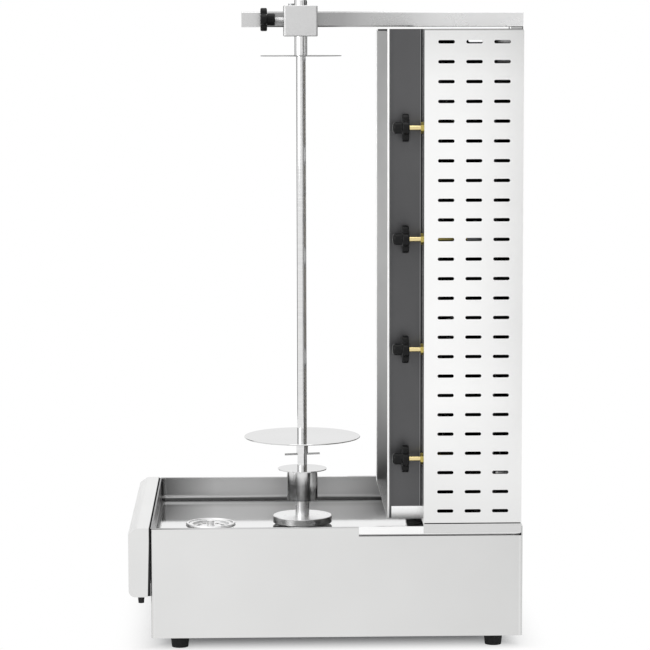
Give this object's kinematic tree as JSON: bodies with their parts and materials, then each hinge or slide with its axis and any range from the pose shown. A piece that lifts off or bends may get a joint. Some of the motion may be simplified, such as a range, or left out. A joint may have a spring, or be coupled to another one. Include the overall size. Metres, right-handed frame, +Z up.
{
  "type": "doner kebab grill",
  "caption": "Upright gas kebab grill: motor-driven vertical spit over a drip pan with a front drawer, facing a slotted burner housing with star-knob taps.",
  "frame": {"origin": "on the floor, under the middle of the machine's length and width", "axes": "+X from the drawer front to the burner housing at the rear, +Y away from the tap side, +Z up"},
  "size_m": [0.6036, 0.45, 0.959],
  "materials": {
    "casing_steel": "fine vertical brushed stainless sheet, satin",
    "pan_steel": "polished stainless, almost a mirror",
    "panel_steel": "bright satin stainless sheet",
    "shield_steel": "heat-darkened satin sheet",
    "turned_steel": "fine turned stainless",
    "plate_steel": "polished disc",
    "block_aluminium": "bead-blasted block",
    "galvanised": "dull zinc-coated steel",
    "brass": "machined brass",
    "knob_plastic": "moulded black plastic, slight sheen",
    "rubber": "matte black rubber",
    "gland_plastic": "black glossy plastic",
    "ceramic": "cream perforated burner tile",
    "cast_housing": "grey cast and pressed burner body",
    "motor_paint": "black enamel"
  },
  "bodies": {
    "base": {"base_casing": "casing_steel", "bottom_plate": "galvanised", "rubber_feet": "rubber", "foot_screws": "galvanised", "drip_pan": "pan_steel", "drawer_runners": "galvanised", "gearbox": "motor_paint", "motor_can": "motor_paint", "motor_bracket": "galvanised", "shaft_bush": "brass", "arm": "casing_steel", "mast": "casing_steel", "mast_bolts": "galvanised", "arm_plugs": "knob_plastic", "slide_block": "block_aluminium", "block_screw": "galvanised", "side_rails": "casing_steel", "cable_gland": "gland_plastic"},
    "strainer": {"drain_strainer": "turned_steel"},
    "drawer": {"drawer_front": "casing_steel", "drawer_box": "casing_steel", "drawer_stubs": "rubber"},
    "turntable": {"drive_shaft": "turned_steel", "turntable_disc": "turned_steel", "drive_cup": "turned_steel"},
    "spit": {"spit_rod": "turned_steel", "cross_pin": "turned_steel", "drip_disc": "plate_steel", "plate_collar": "turned_steel", "meat_plate": "plate_steel"},
    "sleeve": {"top_sleeve": "turned_steel", "top_disc": "plate_steel"},
    "clamp_screw": {"clamp_screw": "galvanised"},
    "clamp_knob": {"clamp_knob": "knob_plastic"},
    "burner_unit": {"carriage_plate": "casing_steel", "side_panel_near": "panel_steel", "side_panel_far": "panel_steel", "rear_cover": "casing_steel", "front_flanges": "casing_steel", "side_plates": "shield_steel", "reflectors": "shield_steel", "burner_panel": "casing_steel", "burner_housings": "cast_housing", "burner_ceramics": "ceramic", "burner_grids": "galvanised", "mixing_tubes": "galvanised", "gas_manifold": "galvanised", "gas_valves": "brass"},
    "tap_stem_1": {"valve_stem_1": "brass"},
    "tap_knob_1": {"gas_knob_1": "knob_plastic"},
    "tap_stem_2": {"valve_stem_2": "brass"},
    "tap_knob_2": {"gas_knob_2": "knob_plastic"},
    "tap_stem_3": {"valve_stem_3": "brass"},
    "tap_knob_3": {"gas_knob_3": "knob_plastic"},
    "tap_stem_4": {"valve_stem_4": "brass"},
    "tap_knob_4": {"gas_knob_4": "knob_plastic"}
  },
  "joints": [
    {"name": "spit_spin", "type": "hinge", "parent": "base", "child": "turntable", "pos_m": [-0.04075, 0, 0.16], "axis": [0, 0, 1], "continuous": true},
    {"name": "spit_lift", "type": "slide", "parent": "turntable", "child": "spit", "axis": [0, 0, 1], "range_m": [0, 0.045]},
    {"name": "sleeve_raise", "type": "slide", "parent": "base", "child": "sleeve", "axis": [0, 0, 1], "range_m": [0, 0.028]},
    {"name": "clamp_travel", "type": "slide", "parent": "base", "child": "clamp_screw", "axis": [-1, 0, 0], "range_m": [0, 0.00187]},
    {"name": "clamp_turn", "type": "hinge", "parent": "clamp_screw", "child": "clamp_knob", "pos_m": [-0.09075, 0, 0.9286], "axis": [-1, 0, 0], "range_deg": [0, 540.01]},
    {"name": "drawer_slide", "type": "slide", "parent": "base", "child": "drawer", "axis": [-1, 0, 0], "range_m": [0, 0.15]},
    {"name": "burner_slide", "type": "slide", "parent": "base", "child": "burner_unit", "axis": [-1, 0, 0], "range_m": [0, 0.055]},
    {"name": "strainer_lift", "type": "slide", "parent": "base", "child": "strainer", "axis": [0, 0, 1], "range_m": [0, 0.03]},
    {"name": "tap_push_1", "type": "slide", "parent": "burner_unit", "child": "tap_stem_1", "axis": [1, 0, 0], "range_m": [0, 0.003], "stiffness_N_per_m": 600, "springref_m": -0.003},
    {"name": "tap_turn_1", "type": "hinge", "parent": "tap_stem_1", "child": "tap_knob_1", "pos_m": [0.10925, -0.197, 0.7705], "axis": [-1, 0, 0], "range_deg": [0, 210]},
    {"name": "tap_push_2", "type": "slide", "parent": "burner_unit", "child": "tap_stem_2", "axis": [1, 0, 0], "range_m": [0, 0.003], "stiffness_N_per_m": 600, "springref_m": -0.003},
    {"name": "tap_turn_2", "type": "hinge", "parent": "tap_stem_2", "child": "tap_knob_2", "pos_m": [0.10925, -0.197, 0.6076], "axis": [-1, 0, 0], "range_deg": [0, 210]},
    {"name": "tap_push_3", "type": "slide", "parent": "burner_unit", "child": "tap_stem_3", "axis": [1, 0, 0], "range_m": [0, 0.003], "stiffness_N_per_m": 600, "springref_m": -0.003},
    {"name": "tap_turn_3", "type": "hinge", "parent": "tap_stem_3", "child": "tap_knob_3", "pos_m": [0.10925, -0.197, 0.4447], "axis": [-1, 0, 0], "range_deg": [0, 210]},
    {"name": "tap_push_4", "type": "slide", "parent": "burner_unit", "child": "tap_stem_4", "axis": [1, 0, 0], "range_m": [0, 0.003], "stiffness_N_per_m": 600, "springref_m": -0.003},
    {"name": "tap_turn_4", "type": "hinge", "parent": "tap_stem_4", "child": "tap_knob_4", "pos_m": [0.10925, -0.197, 0.2818], "axis": [-1, 0, 0], "range_deg": [0, 210]}
  ],
  "couplings": [
    {"joint": "clamp_turn", "follows": "clamp_travel", "rad_per_m": 5026.5}
  ]
}
